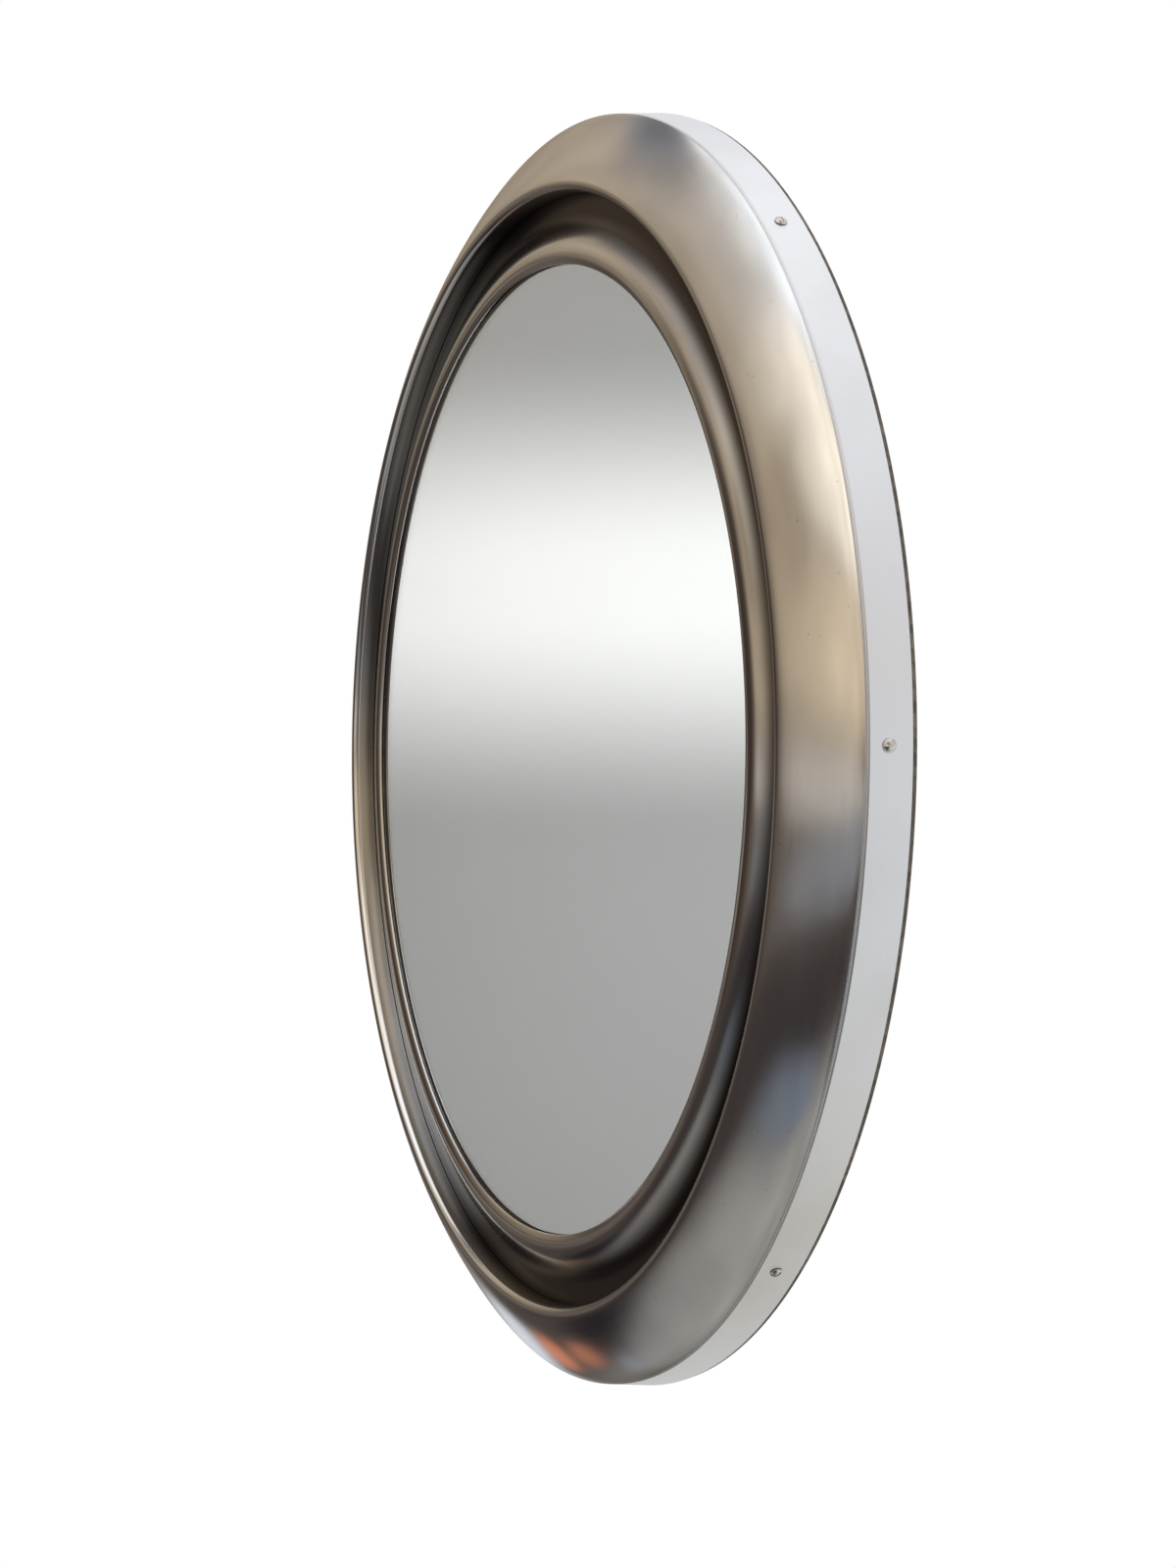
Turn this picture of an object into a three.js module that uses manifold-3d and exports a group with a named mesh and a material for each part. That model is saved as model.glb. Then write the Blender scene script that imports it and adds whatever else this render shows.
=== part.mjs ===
// A round wall mirror in a deep two-step ring of spun metal.
//
// Millimetres, +Z up. The origin is on the wall plane, on the mirror's axis. The glass faces -Y, and the
// wall is at y = 0. Every round piece shares that axis, and its outline is drawn as (radius, depth), where
// depth is the distance in front of the wall, so y = -depth.
import * as THREE from "three";
import { mergeVertices } from "three/addons/utils/BufferGeometryUtils.js";
import Module from "manifold-3d";

const wasm = await Module();
wasm.setup();

// Driving dimensions.
const FRAME_RADIUS = 325; // outside of the side band's wall end
const BAND_FRONT_RADIUS = 322.8; // the band narrows towards the front
const GLASS_RADIUS = 256;
const OPENING_RADIUS = 248.2; // where the inner ring comes down on the glass
const SHEET = 1.2; // spun and rolled sheet metal
const GAP = 0.3; // between pieces that touch
const RING_FACETS = 56; // a multiple of 8, so that each band screw sits on a flat
const SCREW_FACETS = 10;
const HOLE_FACETS = 8;
const KNUCKLE_FACETS = 14;
const BUMPER_FACETS = 16;

// Depths in front of the wall, from the back forward.
const BUMPER_HEIGHT = 8;
const BOARD_THICKNESS = 18;
const BOARD_LIP = 2.5; // raw edge that shows behind the band
const BAND_WIDTH = 19.4;
const PACKING_THICKNESS = 12;
const FELT_THICKNESS = 2.6;
const GLASS_THICKNESS = 4;

const BOARD_BACK = BUMPER_HEIGHT;
const BOARD_FRONT = BOARD_BACK + BOARD_THICKNESS;
const BAND_BACK = BOARD_BACK + BOARD_LIP;
const BAND_FRONT = BAND_BACK + BAND_WIDTH;
const PACKING_BACK = BOARD_FRONT + GAP;
const PACKING_FRONT = PACKING_BACK + PACKING_THICKNESS;
const FELT_BACK = PACKING_FRONT + GAP;
const FELT_FRONT = FELT_BACK + FELT_THICKNESS;
const GLASS_BACK = FELT_FRONT + GAP;
const GLASS_FRONT = GLASS_BACK + GLASS_THICKNESS;
const FLANGE_FRONT = FELT_BACK + SHEET; // inner ring's screwed flange

// Radii of the hidden discs and flanges.
const BOARD_RADIUS = BAND_FRONT_RADIUS - SHEET - GAP;
const BOARD_LIP_RADIUS = FRAME_RADIUS - 0.4;
const BAND_FLANGE_INSIDE = 313;
const BAND_BEND = 1.6; // radius of the band's front corner
const PACKING_RADIUS = 300;
const FELT_RADIUS = 254;

// Outer ring: a long slope from the band up to a tight crest, then a straight wall down into the groove.
const SLOPE_START = new THREE.Vector2(322.5, BAND_FRONT + 0.9);
const SLOPE_LEAVES = new THREE.Vector2(318.9, BAND_FRONT + 5.8);
const SLOPE_ARRIVES = new THREE.Vector2(297.1, BAND_FRONT + 19.5);
const CREST_RADIUS = 3.8;
const CREST_CENTRE = new THREE.Vector2(287.33, BAND_FRONT + 19.1);
const CREST_MEETS_SLOPE = THREE.MathUtils.degToRad(69);
const SLOPE_FOOT_RADIUS = SLOPE_START.x - 0.8;
const WALL_FOOT = FLANGE_FRONT + GAP;
const WALL_FOOT_RADIUS = 290;

// Inner ring: a flange that is also the groove's floor, a long rise inward to a low crest, and a curl down
// on to the glass.
const FLANGE_OUTSIDE = 299;
const RISE_START = new THREE.Vector2(274, FLANGE_FRONT);
const RISE_LEAVES = new THREE.Vector2(265.5, FLANGE_FRONT);
const RISE_ARRIVES = new THREE.Vector2(262.5, GLASS_FRONT + 1.4);
const INNER_CREST = new THREE.Vector2(254.6, GLASS_FRONT + 2.75);
const CREST_BENDS = new THREE.Vector2(252.4, GLASS_FRONT + 3.13);
const LIP_TURN = new THREE.Vector2(250.4, GLASS_FRONT + 2.2);
const LIP_BENDS = new THREE.Vector2(OPENING_RADIUS, GLASS_FRONT + 1.2);
const LIP_END = new THREE.Vector2(OPENING_RADIUS, GLASS_FRONT + GAP);
const LIP_STRAIGHT = 0.5;

// Screws: head radius and height, shank radius and length.
const BAND_SCREW = { count: 8, head: 2.9, height: 1.5, shank: 1.7, length: 20 };
const RIM_SCREW = { count: 8, head: 3.2, height: 1.6, shank: 1.6, length: 11 };
const PACKING_SCREW = { count: 6, head: 4.4, height: 2.2, shank: 2.2, length: 27 };
const HANGER_SCREW = { head: 3.4, height: 1.6, shank: 1.7, length: 14 };
const BAND_SCREW_DEPTH = BAND_BACK + 10.2;
const RIM_SCREW_CIRCLE = 294;
const PACKING_SCREW_CIRCLE = 190;
const SLOT_WIDTH = 0.8;
const SLOT_DEPTH = 0.8;
const SLOT_TURN_STEP = 1.9; // radians from one screw's slot to the next one's

// Hangers: a plate with two screws and a knuckle that holds a swinging D ring.
const HANGERS = { left: -150, right: 150 }; // x of each one
const HANGER_Z = 185; // height of the D ring's pivot
const PLATE = { length: 52, width: 14, thickness: 1.5, screwSpacing: 38 };
const WIRE_RADIUS = 1.75;
const KNUCKLE = { bore: 2.15, outside: 3.4, width: 12 };
const RING_HALF_WIDTH = 10.75; // to the wire's centre line
const RING_SIDE = 8;
const RING_CORNER = 2.5;

const BUMPER_RADIUS = 11;
const BUMPER_CIRCLE = 288;
const BUMPER_CHAMFER = 1.2;

// Materials.
const finish = (color, roughness, metalness) => ({ color, roughness, metalness });
const POLISHED = finish(0xc9c2b4, 0.08, 1);
const SATIN = finish(0xc8c9cc, 0.32, 1);
const SCREW_STEEL = finish(0xb9b6ae, 0.22, 1);
const ZINC = finish(0xa9abad, 0.4, 1);
const SILVERED_GLASS = finish(0xd9dedd, 0.02, 1);
const RAW_BOARD = finish(0x5b4c3d, 0.9, 0);
const PACKING_BOARD = finish(0x9a7b55, 0.88, 0);
const FELT = finish(0x3c3f3d, 0.97, 0);
const RUBBER = finish(0x242424, 0.85, 0);

const WALLWARD = new THREE.Vector3(0, 1, 0); // also the local axis of every spun outline
const FORWARD = new THREE.Vector3(0, -1, 0);

const mirror = new THREE.Group();

function addPiece(name, geometry, look) {
  const mesh = new THREE.Mesh(geometry, new THREE.MeshStandardMaterial(look));
  mesh.name = name;
  mirror.add(mesh);
  return mesh;
}

// Turns a mesh or a geometry's local +Y to a direction, and moves its origin to a point.
function aim(object, at, direction) {
  const turn = new THREE.Quaternion().setFromUnitVectors(WALLWARD, direction);
  if (object.isMesh) {
    object.position.copy(at);
    object.quaternion.copy(turn);
  } else {
    object.applyQuaternion(turn).translate(at.x, at.y, at.z);
  }
  return object;
}

// A solid of revolution about local +Y. The flats, not the corners, lie on the outline's radii.
function spin(outline, facets) {
  const toCorner = 1 / Math.cos(Math.PI / facets);
  const points = outline.map((p) => new THREE.Vector2(p.x * toCorner, p.y));
  if (THREE.ShapeUtils.isClockWise(points)) points.reverse();
  if (points[0].x > 0) points.push(points[0].clone());
  return new THREE.LatheGeometry(points, facets, Math.PI / facets, Math.PI * 2);
}

// A solid of revolution about the mirror's own axis, from an outline of (radius, depth).
const turned = (outline) => spin(outline, RING_FACETS).rotateX(Math.PI);

const pointList = (...pairs) => pairs.map(([x, y]) => new THREE.Vector2(x, y));

// A flat disc from one depth to another, with a small chamfer on its front edge.
function disc(radius, back, front, chamfer) {
  const edge = radius - chamfer;
  return turned(pointList([0, back], [radius, back], [radius, front - chamfer], [edge, front], [0, front]));
}

// A closed outline of sheet metal: the seen side, and the same line moved to its left, the hidden side.
function sheetOutline(seen) {
  const hidden = seen.map((p, i) => {
    const before = seen[Math.max(i - 1, 0)];
    const after = seen[Math.min(i + 1, seen.length - 1)];
    const into = p.clone().sub(before).normalize();
    const outOf = after.clone().sub(p).normalize();
    if (i === 0) into.copy(outOf);
    if (i === seen.length - 1) outOf.copy(into);
    const along = into.clone().add(outOf).normalize();
    const across = new THREE.Vector2(-along.y, along.x);
    return p.clone().addScaledVector(across, SHEET / along.dot(into));
  });
  return [...seen, ...hidden.reverse()];
}

function solidOf(geometry) {
  const bare = geometry.clone();
  bare.deleteAttribute("normal");
  bare.deleteAttribute("uv");
  const merged = mergeVertices(bare, 1e-4);
  const vertProperties = new Float32Array(merged.attributes.position.array);
  const triVerts = new Uint32Array(merged.index.array);
  return new wasm.Manifold(new wasm.Mesh({ numProp: 3, vertProperties, triVerts }));
}

function geometryOf(solid) {
  const { vertProperties, triVerts } = solid.getMesh();
  const geometry = new THREE.BufferGeometry();
  geometry.setAttribute("position", new THREE.BufferAttribute(vertProperties, 3));
  geometry.setIndex(new THREE.BufferAttribute(triVerts, 1));
  geometry.computeVertexNormals();
  return geometry;
}

function cut(geometry, tools) {
  const rest = tools.reduce((left, tool) => left.subtract(solidOf(tool)), solidOf(geometry));
  return geometryOf(rest);
}

const join = (a, b) => geometryOf(solidOf(a).add(solidOf(b)));

// A round drill that starts just outside the face at a point and goes in against a direction.
function drill(radius, length, at, direction) {
  const runOut = 1;
  const tool = new THREE.CylinderGeometry(radius, radius, length + runOut, HOLE_FACETS);
  tool.translate(0, (runOut - length) / 2, 0);
  return aim(tool, at, direction);
}

// The direction from the mirror's axis to one of a ring of equally spaced places.
function spoke(index, count, offset = 0) {
  const angle = ((index + offset) / count) * Math.PI * 2;
  return new THREE.Vector3(Math.cos(angle), 0, Math.sin(angle));
}

// A domed screw along local Y, seated at y = 0, with a slot.
function domedScrew({ head, height, shank, length }, slotTurn) {
  const dome = new THREE.Path();
  const domeRadius = (head * head + height * height) / (2 * height);
  const halfAngle = Math.asin(head / domeRadius);
  dome.absarc(0, height - domeRadius, domeRadius, Math.PI / 2, Math.PI / 2 - halfAngle, true);
  const outline = [
    ...dome.getPoints(2),
    ...pointList([shank, 0], [shank, shank - length], [0, -length]),
  ];
  outline[0].x = 0;
  const slot = new THREE.BoxGeometry(head * 3, SLOT_DEPTH * 2, SLOT_WIDTH);
  slot.translate(0, height, 0).rotateY(slotTurn);
  return cut(spin(outline, SCREW_FACETS), [slot]);
}

// A plain pan-head screw along local Y, seated at y = 0.
function panScrew({ head, height, shank, length }) {
  const outline = pointList([0, height], [head, height], [head, 0], [shank, 0], [shank, -length], [0, -length]);
  return spin(outline, HOLE_FACETS);
}

// A countersunk screw along local Y, flush at y = 0, and the hole that clears it.
function countersunkOutline({ head, height, shank, length }, clearance) {
  return pointList(
    [0, clearance],
    [head + clearance, clearance],
    [head + clearance, 0],
    [shank + clearance, -height],
    [shank + clearance, -length - clearance],
    [0, -length - clearance],
  );
}

function countersunkScrew(size) {
  const outline = countersunkOutline(size, 0).slice(1);
  outline.unshift(new THREE.Vector2(0, 0));
  const arms = [0, 1].map((quarter) => {
    const arm = new THREE.BoxGeometry(size.head * 1.1, SLOT_DEPTH * 2, SLOT_WIDTH);
    return arm.rotateY((quarter * Math.PI) / 2);
  });
  return cut(spin(outline, SCREW_FACETS), arms);
}

// ---- Glass and what carries it ----

addPiece("mirror_glass", disc(GLASS_RADIUS, GLASS_BACK, GLASS_FRONT, 0.8), SILVERED_GLASS);
addPiece("felt_pad", disc(FELT_RADIUS, FELT_BACK, FELT_FRONT, 0), FELT);

const rimScrewSeats = Array.from({ length: RIM_SCREW.count }, (_, i) =>
  spoke(i, RIM_SCREW.count, 0.5).multiplyScalar(RIM_SCREW_CIRCLE).setY(-FLANGE_FRONT),
);
const packingScrewSeats = Array.from({ length: PACKING_SCREW.count }, (_, i) =>
  spoke(i, PACKING_SCREW.count, 0.5).multiplyScalar(PACKING_SCREW_CIRCLE).setY(-BOARD_BACK),
);
const rimScrewHoles = rimScrewSeats.map((seat) =>
  drill(RIM_SCREW.shank + GAP, RIM_SCREW.length + GAP, seat, FORWARD),
);
const packingScrewHoles = packingScrewSeats.map((seat) =>
  aim(spin(countersunkOutline(PACKING_SCREW, GAP), SCREW_FACETS), seat, WALLWARD),
);

const packing = disc(PACKING_RADIUS, PACKING_BACK, PACKING_FRONT, 1);
addPiece("packing_disc", cut(packing, [...rimScrewHoles, ...packingScrewHoles]), PACKING_BOARD);

packingScrewSeats.forEach((seat, i) => {
  aim(addPiece(`packing_screw_${i + 1}`, countersunkScrew(PACKING_SCREW), ZINC), seat, WALLWARD);
});

// ---- Inner ring ----

function innerRingOutline() {
  const rise = new THREE.CubicBezierCurve(RISE_START, RISE_LEAVES, RISE_ARRIVES, INNER_CREST);
  const crest = new THREE.QuadraticBezierCurve(INNER_CREST, CREST_BENDS, LIP_TURN);
  const curlEnd = new THREE.Vector2(LIP_END.x, LIP_END.y + LIP_STRAIGHT);
  const curl = new THREE.QuadraticBezierCurve(LIP_TURN, LIP_BENDS, curlEnd);
  return [
    new THREE.Vector2(FLANGE_OUTSIDE, FLANGE_FRONT),
    ...rise.getPoints(6),
    ...crest.getPoints(3).slice(1),
    ...curl.getPoints(2).slice(1),
    LIP_END,
  ];
}

addPiece("inner_ring", cut(turned(sheetOutline(innerRingOutline())), rimScrewHoles), POLISHED);

rimScrewSeats.forEach((seat, i) => {
  const raised = seat.clone().addScaledVector(FORWARD, GAP);
  aim(addPiece(`rim_screw_${i + 1}`, panScrew(RIM_SCREW), ZINC), raised, FORWARD);
});

// ---- Outer ring ----

function outerRingOutline() {
  const slope = new THREE.CubicBezierCurve(
    SLOPE_START,
    SLOPE_LEAVES,
    SLOPE_ARRIVES,
    new THREE.Vector2(
      CREST_CENTRE.x + CREST_RADIUS * Math.cos(CREST_MEETS_SLOPE),
      CREST_CENTRE.y + CREST_RADIUS * Math.sin(CREST_MEETS_SLOPE),
    ),
  );
  const crest = new THREE.Path();
  crest.absarc(CREST_CENTRE.x, CREST_CENTRE.y, CREST_RADIUS, CREST_MEETS_SLOPE, Math.PI, false);
  const wall = CREST_CENTRE.x - CREST_RADIUS;
  return [
    ...pointList([BAND_FLANGE_INSIDE, BAND_FRONT + GAP], [SLOPE_FOOT_RADIUS, BAND_FRONT + GAP]),
    ...slope.getPoints(4),
    ...crest.getPoints(4).slice(1),
    ...pointList([wall, WALL_FOOT], [WALL_FOOT_RADIUS, WALL_FOOT]),
  ];
}

addPiece("outer_ring", turned(sheetOutline(outerRingOutline())), POLISHED);

// ---- Side band: a shallow cone, with its front edge bent in under the outer ring ----

const coneRise = BAND_WIDTH - BAND_BEND;
const coneAngle = Math.atan2(FRAME_RADIUS - BAND_FRONT_RADIUS, coneRise);

function bandOutline() {
  const corner = new THREE.Path();
  const bendRadius = BAND_FRONT_RADIUS - BAND_BEND;
  corner.absarc(bendRadius, BAND_FRONT - BAND_BEND, BAND_BEND, 0, Math.PI / 2, false);
  return [
    new THREE.Vector2(FRAME_RADIUS, BAND_BACK),
    ...corner.getPoints(2),
    new THREE.Vector2(BAND_FLANGE_INSIDE, BAND_FRONT),
  ];
}

// Each band screw stands square to the cone.
const bandScrewSeats = Array.from({ length: BAND_SCREW.count }, (_, i) => {
  const out = spoke(i, BAND_SCREW.count);
  const radius = FRAME_RADIUS - (BAND_SCREW_DEPTH - BAND_BACK) * Math.tan(coneAngle);
  const direction = out.clone().multiplyScalar(Math.cos(coneAngle));
  direction.addScaledVector(FORWARD, Math.sin(coneAngle));
  return { at: out.multiplyScalar(radius).setY(-BAND_SCREW_DEPTH), direction };
});
const bandScrewHoles = bandScrewSeats.map(({ at, direction }) =>
  drill(BAND_SCREW.shank + GAP, BAND_SCREW.length + GAP, at, direction),
);

addPiece("side_band", cut(turned(sheetOutline(bandOutline())), bandScrewHoles), SATIN);

bandScrewSeats.forEach(({ at, direction }, i) => {
  const raised = at.clone().addScaledVector(direction, GAP);
  const screw = addPiece(`band_screw_${i + 1}`, domedScrew(BAND_SCREW, i * SLOT_TURN_STEP), SCREW_STEEL);
  aim(screw, raised, direction);
});

// ---- Hangers on the back of the board ----

const plateFace = -BOARD_BACK + GAP + PLATE.thickness; // y of the plate's wall side
const pivotY = plateFace + KNUCKLE.bore;
const hangerScrewSeats = [];

// A round hole in a flat shape.
function roundHole(x, y, radius) {
  const corners = Array.from({ length: KNUCKLE_FACETS }, (_, i) => {
    const angle = (-i / KNUCKLE_FACETS) * Math.PI * 2;
    return new THREE.Vector2(x + radius * Math.cos(angle), y + radius * Math.sin(angle));
  });
  return new THREE.Path(corners);
}

function hangerPlate() {
  const half = PLATE.length / 2 - PLATE.width / 2;
  const outline = new THREE.Shape();
  outline.absarc(half, 0, PLATE.width / 2, -Math.PI / 2, Math.PI / 2, false);
  outline.absarc(-half, 0, PLATE.width / 2, Math.PI / 2, Math.PI * 1.5, false);
  for (const side of [-1, 1]) {
    outline.holes.push(roundHole((side * PLATE.screwSpacing) / 2, 0, HANGER_SCREW.shank + GAP));
  }
  const plate = new THREE.ExtrudeGeometry(outline, {
    depth: PLATE.thickness,
    bevelEnabled: false,
    curveSegments: 8,
  });
  plate.rotateX(Math.PI / 2).translate(0, plateFace, 0);

  const root = -KNUCKLE.bore - PLATE.thickness / 2; // half way into the plate
  const sectionOfKnuckle = new THREE.Shape();
  sectionOfKnuckle.moveTo(-KNUCKLE.outside, root);
  sectionOfKnuckle.lineTo(KNUCKLE.outside, root);
  sectionOfKnuckle.absarc(0, 0, KNUCKLE.outside, 0, Math.PI, false);
  sectionOfKnuckle.holes.push(roundHole(0, 0, KNUCKLE.bore));
  const knuckle = new THREE.ExtrudeGeometry(sectionOfKnuckle, {
    depth: KNUCKLE.width,
    bevelEnabled: false,
    curveSegments: 8,
  });
  knuckle.translate(0, 0, -KNUCKLE.width / 2).rotateY(Math.PI / 2).translate(0, pivotY, 0);
  return join(plate, knuckle);
}

// A closed loop in the XZ plane, from a flat path.
class FlatLoop extends THREE.Curve {
  constructor(path) {
    super();
    this.path = path;
  }

  getPoint(t, target = new THREE.Vector3()) {
    const { x, y } = this.path.getPointAt(t % 1);
    return target.set(x, 0, y);
  }
}

// A D ring that hangs down from its straight bar, which lies on the local X axis.
function hangerRing() {
  const a = RING_HALF_WIDTH;
  const c = RING_CORNER;
  const path = new THREE.Path();
  path.moveTo(0, 0);
  path.lineTo(c - a, 0);
  path.absarc(c - a, -c, c, Math.PI / 2, Math.PI, false);
  path.lineTo(-a, -RING_SIDE);
  path.absarc(0, -RING_SIDE, a, Math.PI, Math.PI * 2, false);
  path.lineTo(a, -c);
  path.absarc(a - c, -c, c, 0, Math.PI / 2, false);
  path.lineTo(0, 0);
  return new THREE.TubeGeometry(new FlatLoop(path), 30, WIRE_RADIUS, 8, true);
}

for (const [side, x] of Object.entries(HANGERS)) {
  addPiece(`hanger_plate_${side}`, hangerPlate(), ZINC).position.set(x, 0, HANGER_Z);
  addPiece(`hanger_ring_${side}`, hangerRing(), ZINC).position.set(x, pivotY, HANGER_Z);
  for (const end of [-1, 1]) {
    const seatX = x + (end * PLATE.screwSpacing) / 2;
    hangerScrewSeats.push(new THREE.Vector3(seatX, plateFace + GAP, HANGER_Z));
  }
}

hangerScrewSeats.forEach((seat, i) => {
  aim(addPiece(`hanger_screw_${i + 1}`, domedScrew(HANGER_SCREW, i * SLOT_TURN_STEP), ZINC), seat, WALLWARD);
});

// ---- Back board ----

function backBoard() {
  const step = BAND_BACK - GAP;
  const blank = turned(
    pointList(
      [0, BOARD_BACK],
      [BOARD_LIP_RADIUS, BOARD_BACK],
      [BOARD_LIP_RADIUS, step],
      [BOARD_RADIUS, step],
      [BOARD_RADIUS, BOARD_FRONT],
      [0, BOARD_FRONT],
    ),
  );
  const hangerScrewHoles = hangerScrewSeats.map((seat) =>
    drill(HANGER_SCREW.shank + GAP, HANGER_SCREW.length + GAP, seat, WALLWARD),
  );
  return cut(blank, [...bandScrewHoles, ...packingScrewHoles, ...hangerScrewHoles]);
}

addPiece("back_board", backBoard(), RAW_BOARD);

// ---- Rubber bumpers against the wall ----

for (let i = 0; i < 4; i++) {
  const foot = pointList(
    [0, 0],
    [BUMPER_RADIUS - BUMPER_CHAMFER, 0],
    [BUMPER_RADIUS, -BUMPER_CHAMFER],
    [BUMPER_RADIUS, GAP - BUMPER_HEIGHT],
    [0, GAP - BUMPER_HEIGHT],
  );
  const at = spoke(i, 4, 0.5).multiplyScalar(BUMPER_CIRCLE);
  addPiece(`bumper_${i + 1}`, spin(foot, BUMPER_FACETS), RUBBER).position.copy(at);
}

export default mirror;
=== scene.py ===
"""Looks for a round wall mirror in a deep two-step ring of spun metal.

Metres, +Z up, the glass faces -Y and the wall is the plane y = 0. Round pieces are drawn as outlines of
(radius, depth), where depth is the distance in front of the wall.
"""
import math

import bmesh
import bpy
from mathutils import Matrix, Vector


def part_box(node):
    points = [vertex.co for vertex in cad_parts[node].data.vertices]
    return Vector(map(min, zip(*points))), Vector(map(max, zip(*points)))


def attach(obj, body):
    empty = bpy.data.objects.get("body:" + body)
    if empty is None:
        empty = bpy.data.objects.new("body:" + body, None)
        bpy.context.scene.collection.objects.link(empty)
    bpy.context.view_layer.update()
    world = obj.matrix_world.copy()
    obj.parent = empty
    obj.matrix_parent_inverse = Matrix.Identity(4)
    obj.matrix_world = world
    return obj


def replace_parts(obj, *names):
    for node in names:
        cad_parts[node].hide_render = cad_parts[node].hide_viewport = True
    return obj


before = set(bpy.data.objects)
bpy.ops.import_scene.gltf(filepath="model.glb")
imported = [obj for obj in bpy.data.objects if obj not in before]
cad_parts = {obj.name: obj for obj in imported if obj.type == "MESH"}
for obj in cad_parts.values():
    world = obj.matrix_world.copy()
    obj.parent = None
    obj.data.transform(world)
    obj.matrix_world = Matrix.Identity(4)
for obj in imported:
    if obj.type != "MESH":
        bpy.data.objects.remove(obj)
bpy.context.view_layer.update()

MM = 0.001
ROOT = "mirror"

# ---------------------------------------------------------------- sizes, read from the CAD frame

glass_low, glass_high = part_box("mirror_glass")
band_low, band_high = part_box("side_band")
board_low, board_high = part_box("back_board")
inner_low, inner_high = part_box("inner_ring")

GLASS_FRONT = -glass_low.y
GLASS_BACK = -glass_high.y
GLASS_RADIUS = glass_high.x
BAND_FRONT = -band_low.y
BAND_BACK = -band_high.y
FRAME_RADIUS = band_high.x
BAND_FRONT_RADIUS = 322.8 * MM
BAND_BEND = 1.6 * MM
CONE_ANGLE = math.atan2(FRAME_RADIUS - BAND_FRONT_RADIUS, BAND_FRONT - BAND_BACK - BAND_BEND)
BOARD_BACK = -board_high.y
BOARD_FRONT = -board_low.y
FLANGE_BACK = -inner_high.y
SHEET = 1.2 * MM
GAP = 0.3 * MM
FLANGE_FRONT = FLANGE_BACK + SHEET
OPENING_RADIUS = 248.2 * MM
BAND_FLANGE_INSIDE_MM = 313
TURN_STEPS = 360
BAND_SCREWS = 8
PACKING_SCREWS = 6
PACKING_SCREW_CIRCLE = 190 * MM
HANGER_X = 150 * MM
HANGER_Z = 185 * MM
HANGER_SCREW_SPACING = 19 * MM  # each side of a plate's middle
HANGER_SCREW_XS = [side * HANGER_X + end * HANGER_SCREW_SPACING for side in (-1, 1) for end in (-1, 1)]
PILOT_RADIUS = 2.0 * MM
BUMPERS = 4
BUMPER_CIRCLE = 288 * MM
SLOT_TURN_STEP = 1.9  # radians from one screw's slot to the next
WALLWARD = Vector((0, 1, 0))


# ---------------------------------------------------------------- outlines

def point(radius_mm, depth):
    return Vector((radius_mm * MM, depth))


def arc(centre, radius, start_deg, end_deg, steps):
    """Points of an arc, from one angle to another, both ends included."""
    points = []
    for i in range(steps + 1):
        angle = math.radians(start_deg + (end_deg - start_deg) * i / steps)
        points.append(centre + radius * Vector((math.cos(angle), math.sin(angle))))
    return points


def cubic(a, b, c, d, steps):
    points = []
    for i in range(steps + 1):
        t = i / steps
        u = 1 - t
        points.append(u ** 3 * a + 3 * u * u * t * b + 3 * u * t * t * c + t ** 3 * d)
    return points


def quadratic(a, b, c, steps):
    return cubic(a, a + (b - a) * 2 / 3, c + (b - c) * 2 / 3, c, steps)


def sheet_outline(seen):
    """A closed outline of sheet metal: the seen side, and the same line moved to its left."""
    hidden = []
    for i, p in enumerate(seen):
        into = (p - seen[i - 1]).normalized() if i else (seen[1] - p).normalized()
        out_of = (seen[i + 1] - p).normalized() if i + 1 < len(seen) else into
        along = (into + out_of).normalized()
        hidden.append(p + Vector((-along.y, along.x)) * (SHEET / along.dot(into)))
    return seen + hidden[::-1]


def outer_ring_seen():
    """From the foot on the band's flange, up the long slope, over the crest and down the wall."""
    crest_radius = 3.8 * MM
    crest_centre = point(287.33, BAND_FRONT + 19.07 * MM)
    crest = arc(crest_centre, crest_radius, 69, 180, 18)
    slope = cubic(
        point(322.5, BAND_FRONT + 0.9 * MM),
        point(318.9, BAND_FRONT + 5.8 * MM),
        point(297.1, BAND_FRONT + 19.5 * MM),
        crest[0],
        28,
    )
    foot = [
        point(BAND_FLANGE_INSIDE_MM, BAND_FRONT + GAP),
        point(321.7, BAND_FRONT + GAP),
        point(322.3, BAND_FRONT + 0.5 * MM),
    ]
    wall_foot = FLANGE_FRONT + GAP
    wall = [Vector((crest[-1].x, wall_foot)), point(290, wall_foot)]
    return foot + slope + crest[1:] + wall


def inner_ring_seen():
    """From the hidden flange, along the groove's floor, up the long rise, over the crest to the glass."""
    crest = point(254.6, GLASS_FRONT + 2.75 * MM)
    rise = cubic(
        point(274, FLANGE_FRONT),
        point(265.5, FLANGE_FRONT),
        point(262.5, GLASS_FRONT + 1.4 * MM),
        crest,
        32,
    )
    lip_turn = point(250.4, GLASS_FRONT + 2.2 * MM)
    over = quadratic(crest, point(252.4, GLASS_FRONT + 3.13 * MM), lip_turn, 10)
    lip_end = Vector((OPENING_RADIUS, GLASS_FRONT + GAP))
    curl_end = lip_end + Vector((0, 0.5)) * MM
    curl = quadratic(lip_turn, Vector((OPENING_RADIUS, GLASS_FRONT + 1.2 * MM)), curl_end, 8)
    return [point(299, FLANGE_FRONT)] + rise + over[1:] + curl[1:] + [lip_end]


def band_seen():
    centre = Vector((BAND_FRONT_RADIUS - BAND_BEND, BAND_FRONT - BAND_BEND))
    corner = arc(centre, BAND_BEND, math.degrees(CONE_ANGLE), 90, 10)
    return [Vector((FRAME_RADIUS, BAND_BACK))] + corner + [point(BAND_FLANGE_INSIDE_MM, BAND_FRONT)]


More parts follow.
